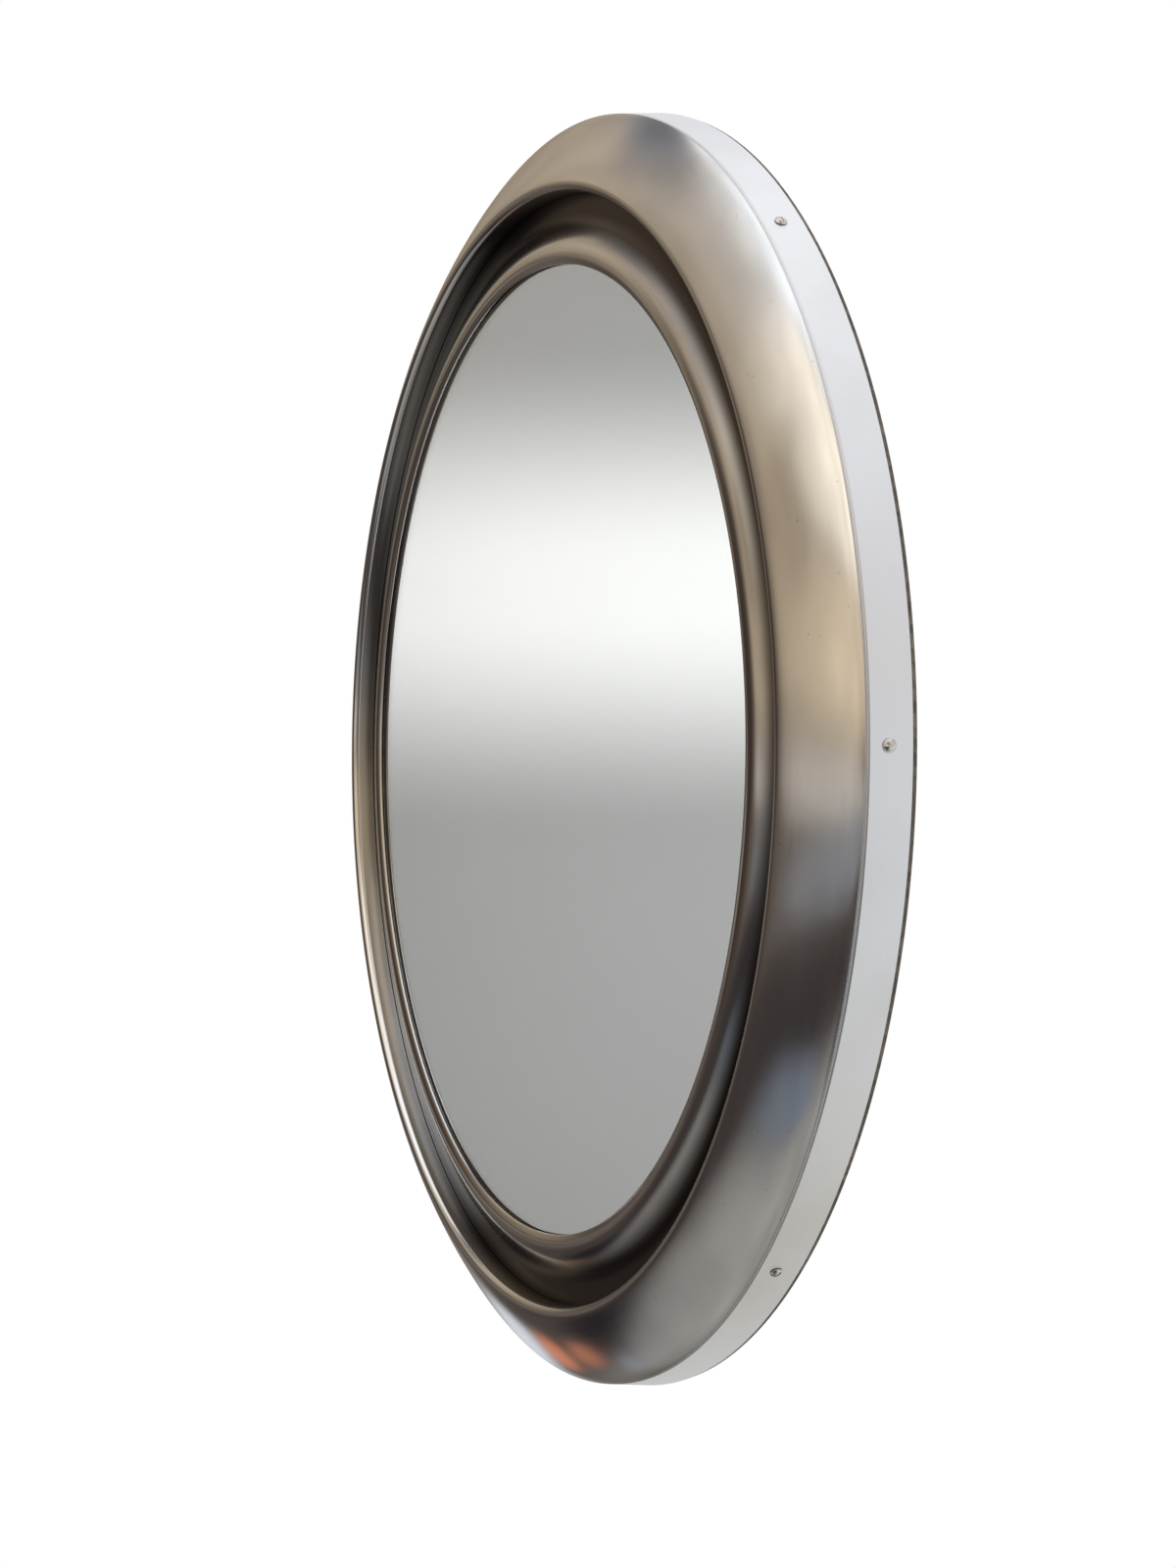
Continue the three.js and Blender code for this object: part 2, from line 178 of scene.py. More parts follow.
def solder_outline():
    """The bead that joins the outer ring's edge to the band's bent front."""
    return [
        point(320.6, BAND_FRONT + 0.02 * MM),
        point(322.15, BAND_FRONT - 0.12 * MM),
        point(322.62, BAND_FRONT + 0.12 * MM),
        point(322.5, BAND_FRONT + 0.42 * MM),
        point(321.9, BAND_FRONT + 0.55 * MM),
        point(320.9, BAND_FRONT + 0.28 * MM),
    ]


# ---------------------------------------------------------------- mesh making

def object_from(name, mesh, body=ROOT, smooth_deg=32):
    mesh.shade_smooth()
    mesh.set_sharp_from_angle(angle=math.radians(smooth_deg))
    piece = bpy.data.objects.new(name, mesh)
    bpy.context.scene.collection.objects.link(piece)
    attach(piece, body)
    return piece


def spun_mesh(name, outline, steps):
    """A solid of revolution about +Z of an outline of (radius, height)."""
    bm = bmesh.new()
    rings = []
    for i in range(steps):
        angle = 2 * math.pi * i / steps
        c, s = math.cos(angle), math.sin(angle)
        rings.append([bm.verts.new((p.x * c, p.x * s, p.y)) for p in outline])
    closed = outline[0].x > 1e-9
    spans = len(outline) if closed else len(outline) - 1
    for i in range(steps):
        here, there = rings[i], rings[(i + 1) % steps]
        for j in range(spans):
            k = (j + 1) % len(outline)
            bm.faces.new((here[j], there[j], there[k], here[k]))
    bmesh.ops.remove_doubles(bm, verts=bm.verts, dist=1e-7)
    bmesh.ops.recalc_face_normals(bm, faces=bm.faces)
    mesh = bpy.data.meshes.new(name)
    bm.to_mesh(mesh)
    bm.free()
    return mesh


def turned(name, outline, steps=TURN_STEPS, smooth_deg=32):
    """A piece turned about the mirror's own axis, with depth running to -Y."""
    mesh = spun_mesh(name, outline, steps)
    mesh.transform(Matrix.Rotation(math.radians(90), 4, "X"))
    return object_from(name, mesh, smooth_deg=smooth_deg)


def on_circle(radius, depth, i, count, phase=0.0):
    """The i-th of a count of places spread evenly on a circle about the axis."""
    angle = 2 * math.pi * (i + phase) / count
    return Vector((radius * math.cos(angle), -depth, radius * math.sin(angle)))


def aimed(at, direction):
    """The transform that turns +Z to a direction and moves the origin to a point."""
    turn = direction.to_track_quat("Z", "Y").to_matrix().to_4x4()
    return Matrix.Translation(at) @ turn


def carve(mesh, tool_meshes):
    """The mesh with every tool cut out of it."""
    work = bpy.data.objects.new("work", mesh)
    bpy.context.scene.collection.objects.link(work)
    tools = []
    for tool_mesh in tool_meshes:
        tool = bpy.data.objects.new("tool", tool_mesh)
        bpy.context.scene.collection.objects.link(tool)
        tools.append(tool)
        cut = work.modifiers.new("cut", "BOOLEAN")
        cut.operation = "DIFFERENCE"
        cut.solver = "EXACT"
        cut.object = tool
    bpy.context.view_layer.update()
    graph = bpy.context.evaluated_depsgraph_get()
    result = bpy.data.meshes.new_from_object(work.evaluated_get(graph))
    for extra in tools + [work]:
        bpy.data.objects.remove(extra)
    result.name = mesh.name
    return result


def block_mesh(size, at=(0, 0, 0), turn=0.0):
    bm = bmesh.new()
    bmesh.ops.create_cube(bm, size=1)
    place = Matrix.Translation(at) @ Matrix.Rotation(turn, 4, "Z") @ Matrix.Diagonal((*size, 1))
    bmesh.ops.transform(bm, matrix=place, verts=bm.verts)
    mesh = bpy.data.meshes.new("block")
    bm.to_mesh(mesh)
    bm.free()
    return mesh


# ---------------------------------------------------------------- node helpers

class Nodes:
    """A short way to write a node tree."""

    def __init__(self, tree):
        self.tree = tree

    def add(self, kind, **settings):
        node = self.tree.nodes.new(kind)
        for key, value in settings.items():
            setattr(node, key, value)
        return node

    def put(self, socket, value):
        if isinstance(value, bpy.types.NodeSocket):
            self.tree.links.new(value, socket)
        elif value is not None:
            socket.default_value = value

    def math(self, operation, a, b=None):
        node = self.add("ShaderNodeMath", operation=operation)
        self.put(node.inputs[0], a)
        self.put(node.inputs[1], b)
        return node.outputs[0]

    def mix(self, factor, a, b, blend="MIX"):
        node = self.add("ShaderNodeMix", data_type="RGBA", blend_type=blend)
        self.put(node.inputs["Factor"], factor)
        self.put(node.inputs[6], a)
        self.put(node.inputs[7], b)
        return node.outputs[2]

    def ramp(self, value, stops, interpolation="LINEAR"):
        node = self.add("ShaderNodeValToRGB")
        node.color_ramp.interpolation = interpolation
        elements = node.color_ramp.elements
        while len(elements) < len(stops):
            elements.new(0.5)
        for element, (position, colour) in zip(elements, stops):
            element.position = position
            element.color = (*colour, 1) if len(colour) == 3 else colour
        self.put(node.inputs[0], value)
        return node.outputs[0]

    def spread(self, value, low, high, to_low=0.0, to_high=1.0, smooth=False):
        kind = "SMOOTHSTEP" if smooth else "LINEAR"
        node = self.add("ShaderNodeMapRange", interpolation_type=kind)
        for socket, number in zip(node.inputs, (value, low, high, to_low, to_high)):
            self.put(socket, number)
        return node.outputs[0]

    def noise(self, vector, scale, detail=3.0, roughness=0.55):
        node = self.add("ShaderNodeTexNoise")
        self.put(node.inputs["Vector"], vector)
        self.put(node.inputs["Scale"], scale)
        self.put(node.inputs["Detail"], detail)
        self.put(node.inputs["Roughness"], roughness)
        return node.outputs["Fac"]

    def cells(self, vector, scale):
        node = self.add("ShaderNodeTexVoronoi")
        self.put(node.inputs["Vector"], vector)
        self.put(node.inputs["Scale"], scale)
        return node

    def bump(self, height, strength, distance, normal=None):
        node = self.add("ShaderNodeBump")
        self.put(node.inputs["Height"], height)
        self.put(node.inputs["Strength"], strength)
        self.put(node.inputs["Distance"], distance)
        self.put(node.inputs["Normal"], normal)
        return node.outputs[0]

    def place(self):
        return self.add("ShaderNodeTexCoord").outputs["Object"]

    def split(self, vector):
        node = self.add("ShaderNodeSeparateXYZ")
        self.put(node.inputs[0], vector)
        return node.outputs

    def length(self, x, z):
        squares = self.math("ADD", self.math("MULTIPLY", x, x), self.math("MULTIPLY", z, z))
        return self.math("SQRT", squares)

    def join(self, x, y, z):
        node = self.add("ShaderNodeCombineXYZ")
        for socket, value in zip(node.inputs, (x, y, z)):
            self.put(socket, value)
        return node.outputs[0]


def new_material(name, colour, metallic=0.0, roughness=0.5):
    material = bpy.data.materials.new(name)
    material.use_nodes = True
    nodes = Nodes(material.node_tree)
    shader = material.node_tree.nodes["Principled BSDF"]
    shader.inputs["Base Color"].default_value = (*colour, 1)
    shader.inputs["Metallic"].default_value = metallic
    shader.inputs["Roughness"].default_value = roughness
    return material, nodes, shader.inputs


def around_axis(nodes, fine, coarse):
    """Coordinates that run fast across a turned surface and slowly round it, with no seam."""
    x, y, z = nodes.split(nodes.place())
    radius = nodes.length(x, z)
    across = nodes.math("MULTIPLY", nodes.math("SUBTRACT", radius, y), fine)
    east = nodes.math("MULTIPLY", nodes.math("DIVIDE", x, radius), coarse)
    north = nodes.math("MULTIPLY", nodes.math("DIVIDE", z, radius), coarse)
    return nodes.join(across, east, north)


# ---------------------------------------------------------------- materials

NICKEL = (0.86, 0.845, 0.82)


def polished_nickel():
    """Spun and polished, with haze and specks, and a dark groove between the rings that is partly tarnish
    and partly painted shade, weaker towards -X.
    """
    material, nodes, inputs = new_material("polished_nickel", NICKEL, 1.0, 0.12)
    spun = nodes.noise(around_axis(nodes, 900, 1.6), 1.0, 3)
    cloud = nodes.noise(nodes.place(), 9, 4)
    speck = nodes.noise(nodes.place(), 260, 2)
    x, y, z = nodes.split(nodes.place())
    radius = nodes.length(x, z)
    ragged = nodes.math("ADD", radius, nodes.math("MULTIPLY", nodes.math("SUBTRACT", cloud, 0.5), 0.005))
    # painted shade: the groove's floor and the rise towards the inner ring's crest are darkened in the base
    # colour, partly as tarnish and partly standing in for the shade down in the groove
    floor = nodes.spread(ragged, 256 * MM, 265 * MM, 0, 1, smooth=True)
    wall = nodes.spread(radius, 284.5 * MM, 287 * MM, 1, 0, smooth=True)
    depth = nodes.math("MULTIPLY", y, -1)
    low = nodes.spread(depth, FLANGE_FRONT + 2 * MM, GLASS_FRONT + 5 * MM, 1, 0)
    # painted shade: the darkening is weaker towards -X, standing in for the groove catching more light on
    # that side
    shade_by_side = nodes.spread(x, -240 * MM, -60 * MM, 0.45, 1, smooth=True)
    patina_and_shade = nodes.math("MULTIPLY", nodes.math("MULTIPLY", floor, wall), nodes.math("MULTIPLY", low, shade_by_side))
    haze = nodes.math("ADD", nodes.math("MULTIPLY", spun, 0.35), nodes.math("MULTIPLY", cloud, 0.65))
    polish = nodes.spread(haze, 0.3, 0.7, 0.09, 0.17)
    nodes.put(inputs["Roughness"], nodes.math("ADD", polish, nodes.math("MULTIPLY", patina_and_shade, 0.12)))
    tarnish = nodes.spread(cloud, 0.52, 0.8)
    colour = nodes.mix(tarnish, (*NICKEL, 1), (0.80, 0.77, 0.72, 1))
    spots = nodes.spread(speck, 0.70, 0.78)
    colour = nodes.mix(nodes.math("MULTIPLY", spots, 0.35), colour, (0.52, 0.47, 0.40, 1))
    # the groove's painted shade and tarnish, mixed into the base colour
    colour = nodes.mix(nodes.math("MULTIPLY", patina_and_shade, 0.95), colour, (0.044, 0.030, 0.022, 1))
    nodes.put(inputs["Base Color"], colour)
    fine = nodes.bump(spun, 0.10, 0.00004)
    wave = nodes.bump(nodes.noise(nodes.place(), 26, 2), 0.25, 0.0004, fine)
    nodes.put(inputs["Normal"], wave)
    return material


def satin_nickel():
    base = (0.80, 0.80, 0.81)
    material, nodes, inputs = new_material("satin_nickel", base, 1.0, 0.36)
    brushed = nodes.noise(around_axis(nodes, 5200, 7), 1.0, 5, 0.7)
    cloud = nodes.noise(nodes.place(), 14, 4)
    nodes.put(inputs["Roughness"], nodes.spread(brushed, 0.25, 0.75, 0.30, 0.44))
    streaked = nodes.mix(nodes.spread(brushed, 0.3, 0.7), (0.77, 0.77, 0.78, 1), (0.83, 0.83, 0.84, 1))
    dull = nodes.spread(cloud, 0.5, 0.85)
    nodes.put(inputs["Base Color"], nodes.mix(dull, streaked, (0.72, 0.71, 0.69, 1)))
    nodes.put(inputs["Normal"], nodes.bump(brushed, 0.12, 0.00006))
    inputs["Anisotropic"].default_value = 0.45
    tangent = nodes.add("ShaderNodeTangent", direction_type="RADIAL", axis="Y")
    nodes.put(inputs["Tangent"], tangent.outputs[0])
    return material


def small_metal(name, colour, roughness, grime):
    """Plated steel of a screw, plate or ring, with grime in random patches."""
    material, nodes, inputs = new_material(name, colour, 1.0, roughness)
    mottle = nodes.noise(nodes.place(), 420, 4)
    nodes.put(inputs["Roughness"], nodes.spread(mottle, 0.3, 0.7, roughness * 0.75, roughness * 1.35))
    dull = tuple(c * grime for c in colour)
    nodes.put(inputs["Base Color"], nodes.mix(nodes.spread(mottle, 0.45, 0.8), (*colour, 1), (*dull, 1)))
    nodes.put(inputs["Normal"], nodes.bump(nodes.noise(nodes.place(), 1400, 3), 0.2, 0.00005))
    return material


def clear_glass():
    material, nodes, inputs = new_material("clear_glass", (0.985, 0.992, 0.988), 0.0, 0.0)
    inputs["Transmission Weight"].default_value = 1.0
    inputs["IOR"].default_value = 1.52
    smear = nodes.noise(nodes.place(), 6, 5, 0.6)
    nodes.put(inputs["Roughness"], nodes.spread(smear, 0.55, 0.85, 0.0, 0.025))
    return material


def silver_coat():
    material, nodes, inputs = new_material("silver_coat", (0.95, 0.955, 0.95), 1.0, 0.01)
    cloud = nodes.noise(nodes.place(), 5, 3)
    nodes.put(inputs["Roughness"], nodes.spread(cloud, 0.4, 0.8, 0.004, 0.02))
    x, _, z = nodes.split(nodes.place())
    radius = nodes.length(x, z)
    ragged = nodes.math("ADD", radius, nodes.math("MULTIPLY", nodes.noise(nodes.place(), 160, 4), 0.004))
    edge = nodes.spread(ragged, GLASS_RADIUS - 0.004, GLASS_RADIUS)
    nodes.put(inputs["Base Color"], nodes.mix(edge, (0.95, 0.955, 0.95, 1), (0.25, 0.22, 0.19, 1)))
    return material


def chipboard(name, light, dark):
    material, nodes, inputs = new_material(name, light, 0.0, 0.85)
    flakes = nodes.cells(nodes.place(), 330)
    grain = nodes.noise(nodes.place(), 900, 5, 0.7)
    cloud = nodes.noise(nodes.place(), 30, 3)
    flake_tone = nodes.math("MULTIPLY", nodes.split(flakes.outputs["Color"])[0], 0.6)
    tone = nodes.math("ADD", flake_tone, nodes.math("MULTIPLY", grain, 0.4))
    colour = nodes.mix(nodes.spread(tone, 0.2, 0.8), (*dark, 1), (*light, 1))
    nodes.put(inputs["Base Color"], nodes.mix(nodes.spread(cloud, 0.4, 0.9), colour, (*dark, 1)))
    nodes.put(inputs["Roughness"], nodes.spread(grain, 0.3, 0.7, 0.75, 0.95))
    pits = nodes.bump(flakes.outputs["Distance"], 0.5, 0.0004)
    nodes.put(inputs["Normal"], nodes.bump(grain, 0.5, 0.0003, pits))
    return material


def felt():
    material, nodes, inputs = new_material("felt", (0.16, 0.17, 0.16), 0.0, 0.97)
    fuzz = nodes.noise(nodes.place(), 1300, 5, 0.75)
    nodes.put(inputs["Base Color"], nodes.mix(fuzz, (0.11, 0.12, 0.11, 1), (0.22, 0.23, 0.22, 1)))
    nodes.put(inputs["Normal"], nodes.bump(fuzz, 0.7, 0.0004))
    inputs["Sheen Weight"].default_value = 0.3
    return material


def rubber():
    material, nodes, inputs = new_material("rubber", (0.035, 0.035, 0.036), 0.0, 0.7)
    dust = nodes.noise(nodes.place(), 500, 4)
    nodes.put(inputs["Roughness"], nodes.spread(dust, 0.3, 0.7, 0.6, 0.85))
    dusty = nodes.spread(dust, 0.5, 0.9)
    nodes.put(inputs["Base Color"], nodes.mix(dusty, (0.03, 0.03, 0.031, 1), (0.09, 0.088, 0.084, 1)))
    nodes.put(inputs["Normal"], nodes.bump(dust, 0.35, 0.0001))
    return material


LOOKS = {
    "polished": polished_nickel(),
    "satin": satin_nickel(),
    "screw": small_metal("nickel_screw", (0.70, 0.67, 0.62), 0.22, 0.55),
    "zinc": small_metal("zinc_steel", (0.66, 0.67, 0.68), 0.36, 0.7),
    "glass": clear_glass(),
    "silver": silver_coat(),
    "board": chipboard("raw_board", (0.25, 0.21, 0.17), (0.10, 0.085, 0.07)),
    "packing": chipboard("packing_board", (0.52, 0.38, 0.24), (0.30, 0.21, 0.13)),
    "felt": felt(),
    "rubber": rubber(),
}


def dress(piece, look):
    piece.data.materials.clear()
    piece.data.materials.append(LOOKS[look])
    return piece


# ---------------------------------------------------------------- pieces

def make_rings():
    outer = turned("outer_ring_spun", sheet_outline(outer_ring_seen()))
    inner = turned("inner_ring_spun", sheet_outline(inner_ring_seen()))
    band = turned("side_band_rolled", sheet_outline(band_seen()))
    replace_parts(dress(outer, "polished"), "outer_ring")
    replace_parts(dress(inner, "polished"), "inner_ring")
    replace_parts(dress(band, "satin"), "side_band")
    bead = turned("solder_bead", solder_outline())
    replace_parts(dress(bead, "satin"), "outer_ring")


def make_glass():
    arris = 0.8 * MM
    coat = 0.05 * MM
    sheet_back = GLASS_BACK + 2 * coat
    outline = [
        Vector((0, sheet_back)),
        Vector((GLASS_RADIUS - arris, sheet_back)),
        Vector((GLASS_RADIUS, sheet_back + arris)),
        Vector((GLASS_RADIUS, GLASS_FRONT - arris)),
        Vector((GLASS_RADIUS - arris, GLASS_FRONT)),
        Vector((0, GLASS_FRONT)),
    ]
    glass = turned("glass_sheet", outline, smooth_deg=20)
    edge = GLASS_RADIUS - arris
    back = [
        Vector((0, GLASS_BACK)),
        Vector((edge, GLASS_BACK)),
        Vector((edge, GLASS_BACK + coat)),
        Vector((0, GLASS_BACK + coat)),
    ]
    silver = turned("silver_backing", back, smooth_deg=20)
    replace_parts(dress(glass, "glass"), "mirror_glass")
    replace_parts(dress(silver, "silver"), "mirror_glass")


def domed_screw_mesh(name, head, height, shank, length, slot_turn):
    """A domed head with a slot, seated at z = 0, on a plain shank."""
    dome_radius = (head * head + height * height) / (2 * height)
    half_angle = math.degrees(math.asin(head / dome_radius))
    dome = arc(Vector((0, height - dome_radius)), dome_radius, 90, 90 - half_angle, 10)
    dome[0].x = 0
    edge = 0.25 * MM
    dome[-1] = Vector((head, edge))
    foot = [Vector((head, 0)), Vector((shank, 0)), Vector((shank, shank - length)), Vector((0, -length))]
    mesh = spun_mesh(name, dome + foot, 36)
    slot = block_mesh((head * 3, 0.8 * MM, 1.6 * MM), (0, 0, height), slot_turn)
    return carve(mesh, [slot])


def band_screw_seats():
    """Where each band screw sits, and the way it faces, square to the band's cone."""
    up_the_cone = 10.2 * MM
    radius = FRAME_RADIUS - up_the_cone * math.tan(CONE_ANGLE)
    seats = []
    for i in range(BAND_SCREWS):
        spoke = on_circle(1, 0, i, BAND_SCREWS)
        outward = spoke * math.cos(CONE_ANGLE) - Vector((0, math.sin(CONE_ANGLE), 0))
        seats.append((spoke * radius + Vector((0, -BAND_BACK - up_the_cone, 0)) + outward * GAP, outward))
    return seats


def make_band_screws():
    for i, (seat, outward) in enumerate(band_screw_seats()):
        name = f"band_screw_head_{i + 1}"
        mesh = domed_screw_mesh(name, 2.9 * MM, 1.46 * MM, 1.7 * MM, 19 * MM, SLOT_TURN_STEP * i)
        mesh.transform(aimed(seat, outward))
        screw = object_from(name, mesh)
        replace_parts(dress(screw, "screw"), f"band_screw_{i + 1}")


def drill_mesh(radius, length, at, direction, head=None):
    """A round cutter that goes in against a direction; a head makes it countersunk."""
    outline = [Vector((0, MM)), Vector((radius, MM)), Vector((radius, -length)), Vector((0, -length))]
    if head:
        outline[1:2] = [Vector((head, MM)), Vector((head, 0)), Vector((radius, radius - head))]
    mesh = spun_mesh("drill", outline, 24)
    mesh.transform(aimed(at, direction))
    return mesh


def make_board():
    """The round board, whose raw edge shows behind the band, drilled for its screws."""
    lip_radius = FRAME_RADIUS - 0.4 * MM
    step = BAND_BACK - GAP
    inside = BAND_FRONT_RADIUS - SHEET - GAP
    edge = 0.4 * MM
    outline = [
        Vector((0, BOARD_BACK)),
        Vector((lip_radius - edge, BOARD_BACK)),
        Vector((lip_radius, BOARD_BACK + edge)),
        Vector((lip_radius, step)),
        Vector((inside, step)),
        Vector((inside, BOARD_FRONT)),
        Vector((0, BOARD_FRONT)),
    ]
    mesh = spun_mesh("board", outline, TURN_STEPS)
    mesh.transform(Matrix.Rotation(math.radians(90), 4, "X"))
    drills = []
    for seat, outward in band_screw_seats():
        drills.append(drill_mesh(PILOT_RADIUS, 21 * MM, seat - outward * GAP, outward))
    for i in range(PACKING_SCREWS):
        at = on_circle(PACKING_SCREW_CIRCLE, BOARD_BACK, i, PACKING_SCREWS, 0.5)
        drills.append(drill_mesh(2.5 * MM, 30 * MM, at, WALLWARD, head=4.7 * MM))
    for x in HANGER_SCREW_XS:
        drills.append(drill_mesh(PILOT_RADIUS, 15 * MM, Vector((x, -BOARD_BACK, HANGER_Z)), WALLWARD))
    board = object_from("board", carve(mesh, drills))
    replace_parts(dress(board, "board"), "back_board")


def make_packing_screws():
    """Countersunk screws with a cross recess, flush with the back of the board."""
    head, shank, length = 4.4 * MM, 2.2 * MM, 27 * MM
    rim = 0.15 * MM
    outline = [
        Vector((0, 0)),
        Vector((head - rim, 0)),
        Vector((head, -rim)),
        Vector((shank, shank - head)),
        Vector((shank, shank - length)),
        Vector((0, -length)),
    ]
    arm = (head * 1.1, 0.8 * MM, 1.6 * MM)
    for i in range(PACKING_SCREWS):
        cross = [block_mesh(arm, turn=math.pi / 2 * quarter) for quarter in range(2)]
        mesh = carve(spun_mesh("packing_screw", outline, 32), cross)
        at = on_circle(PACKING_SCREW_CIRCLE, BOARD_BACK, i, PACKING_SCREWS, 0.5)
        mesh.transform(aimed(at, WALLWARD))
        screw = object_from(f"packing_screw_head_{i + 1}", mesh)
        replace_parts(dress(screw, "zinc"), f"packing_screw_{i + 1}")


def stadium(half_length, radius, steps=16):
    right = arc(Vector((half_length - radius, 0)), radius, -90, 90, steps)
    left = arc(Vector((radius - half_length, 0)), radius, 90, 270, steps)
    return right + left


def stacked_mesh(name, layers):
    """A solid between flat outlines, each given with its y; every outline has the same count."""
    bm = bmesh.new()
    loops = [[bm.verts.new((p.x, y, p.y)) for p in outline] for outline, y in layers]
    for low, high in zip(loops, loops[1:]):
        for i in range(len(low)):
            j = (i + 1) % len(low)
            bm.faces.new((low[i], low[j], high[j], high[i]))
    bm.faces.new(loops[0])
    bm.faces.new(loops[-1])
    bmesh.ops.remove_doubles(bm, verts=bm.verts, dist=1e-7)
    bmesh.ops.recalc_face_normals(bm, faces=bm.faces)
    mesh = bpy.data.meshes.new(name)
    bm.to_mesh(mesh)
    bm.free()
    return mesh


def wire_loop_mesh(name, path, radius, steps=20):
    """A round wire along a closed path in the XZ plane."""
    bm = bmesh.new()
    loops = []
    for i, p in enumerate(path):
        along = (path[(i + 1) % len(path)] - path[i - 1]).normalized()
        across = Vector((-along.y, 0, along.x))
        ring = []
        for k in range(steps):
            angle = 2 * math.pi * k / steps
            offset = across * math.cos(angle) * radius + Vector((0, math.sin(angle) * radius, 0))
            ring.append(bm.verts.new(Vector((p.x, 0, p.y)) + offset))
        loops.append(ring)
    for i, here in enumerate(loops):
        there = loops[(i + 1) % len(loops)]
        for k in range(steps):
            n = (k + 1) % steps
            bm.faces.new((here[k], here[n], there[n], there[k]))
    bmesh.ops.recalc_face_normals(bm, faces=bm.faces)
    mesh = bpy.data.meshes.new(name)
    bm.to_mesh(mesh)
    bm.free()
    return mesh


def d_ring_path():
    half, side, corner = 10.75 * MM, 8 * MM, 2.5 * MM
    left_corner = arc(Vector((corner - half, -corner)), corner, 90, 180, 8)
    bow = arc(Vector((0, -side)), half, 180, 360, 40)
    right_corner = arc(Vector((half - corner, -corner)), corner, 0, 90, 8)
    return left_corner + bow + right_corner + [Vector((0, 0))]


def make_hangers():
    plate_back = -(BOARD_BACK - GAP)
    thickness = 1.5 * MM
    plate_face = plate_back + thickness
    bore, outside, width = 2.15 * MM, 3.4 * MM, 12 * MM
    pivot = plate_face + bore
    soften = 0.35 * MM
    half_length, half_width = 26 * MM, 7 * MM
    for side, x in (("left", -HANGER_X), ("right", HANGER_X)):
        place = Matrix.Translation((x, 0, HANGER_Z))
        full = stadium(half_length, half_width)
        small = stadium(half_length - soften, half_width - soften)
        layers = [(full, plate_back), (full, plate_face - soften), (small, plate_face)]
        plate_mesh = stacked_mesh("plate", layers)
        holes = []
        for end in (-1, 1):
            at = Vector((end * HANGER_SCREW_SPACING, plate_face, 0))
            holes.append(drill_mesh(PILOT_RADIUS, 4 * MM, at, WALLWARD))
        plate_mesh = carve(plate_mesh, holes)
        plate_mesh.transform(place)
        plate = object_from(f"hanger_plate_pressed_{side}", plate_mesh)

        root = Vector((outside, -bore - thickness / 2))
        crown = [root] + arc(Vector((0, 0)), outside, 0, 180, 24) + [Vector((-root.x, root.y))]
        edge = [p * (1 - soften / outside) for p in crown]
        half = width / 2
        layers = [(edge, -half), (crown, soften - half), (crown, half - soften), (edge, half)]
        knuckle_mesh = stacked_mesh("knuckle", layers)
        rod = [Vector((0, -width)), Vector((bore, -width)), Vector((bore, width)), Vector((0, width))]
        bore_mesh = spun_mesh("bore", rod, 32)
        bore_mesh.transform(Matrix.Rotation(math.radians(90), 4, "X"))
        knuckle_mesh = carve(knuckle_mesh, [bore_mesh])
        # its length turns to X and its height to +Y
        knuckle_mesh.transform(Matrix(((0, 1, 0, x), (0, 0, 1, pivot), (1, 0, 0, HANGER_Z), (0, 0, 0, 1))))
        knuckle = object_from(f"hanger_knuckle_{side}", knuckle_mesh)
        for piece in (plate, knuckle):
            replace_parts(dress(piece, "zinc"), f"hanger_plate_{side}")

        ring_mesh = wire_loop_mesh("d_ring", d_ring_path(), 1.75 * MM)
        ring_mesh.transform(Matrix.Translation((x, pivot, HANGER_Z)))
        ring = object_from(f"d_ring_{side}", ring_mesh, body=f"ring_{side}")
        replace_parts(dress(ring, "zinc"), f"hanger_ring_{side}")

    for i, x in enumerate(HANGER_SCREW_XS):
        mesh = domed_screw_mesh("hanger_screw", 3.4 * MM, 1.6 * MM, 1.7 * MM, 13.6 * MM, SLOT_TURN_STEP * i)
        mesh.transform(aimed(Vector((x, plate_face + GAP, HANGER_Z)), WALLWARD))
        screw = object_from(f"hanger_screw_head_{i + 1}", mesh)
        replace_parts(dress(screw, "zinc"), f"hanger_screw_{i + 1}")


def make_bumpers():
    """Moulded rubber feet with a shallow dish in the face that meets the wall."""
    radius, height = 11 * MM, BOARD_BACK - GAP
    outline = [
        Vector((0, height - 0.8 * MM)),
        Vector((radius - 4 * MM, height - 0.8 * MM)),
        Vector((radius - 3 * MM, height)),
        Vector((radius - 1.2 * MM, height)),
        Vector((radius - 0.4 * MM, height - 0.35 * MM)),
        Vector((radius, height - 1.2 * MM)),
        Vector((radius, 0)),
        Vector((0, 0)),
    ]
    for i in range(BUMPERS):
        mesh = spun_mesh("bumper", outline, 48)
        mesh.transform(aimed(on_circle(BUMPER_CIRCLE, height, i, BUMPERS, 0.5), WALLWARD))
        foot = object_from(f"bumper_moulded_{i + 1}", mesh)
        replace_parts(dress(foot, "rubber"), f"bumper_{i + 1}")


def dress_cad_nodes():
    """The hidden CAD nodes, whose shapes are right, get their own materials."""
    dress(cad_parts["packing_disc"], "packing")
    dress(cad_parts["felt_pad"], "felt")
    for name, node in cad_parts.items():
        if name.startswith("rim_screw"):
            dress(node, "zinc")


make_rings()
make_glass()
make_band_screws()
make_board()
make_packing_screws()
make_hangers()
make_bumpers()
dress_cad_nodes()


# ---------------------------------------------------------------- stage, light and camera

def srgb(r, g, b, gain=1.0):
    """A linear colour from an everyday 0 to 255 one."""
    def linear(c):
        c /= 255
        return gain * (c / 12.92 if c <= 0.04045 else ((c + 0.055) / 1.055) ** 2.4)
    return (linear(r), linear(g), linear(b), 1)


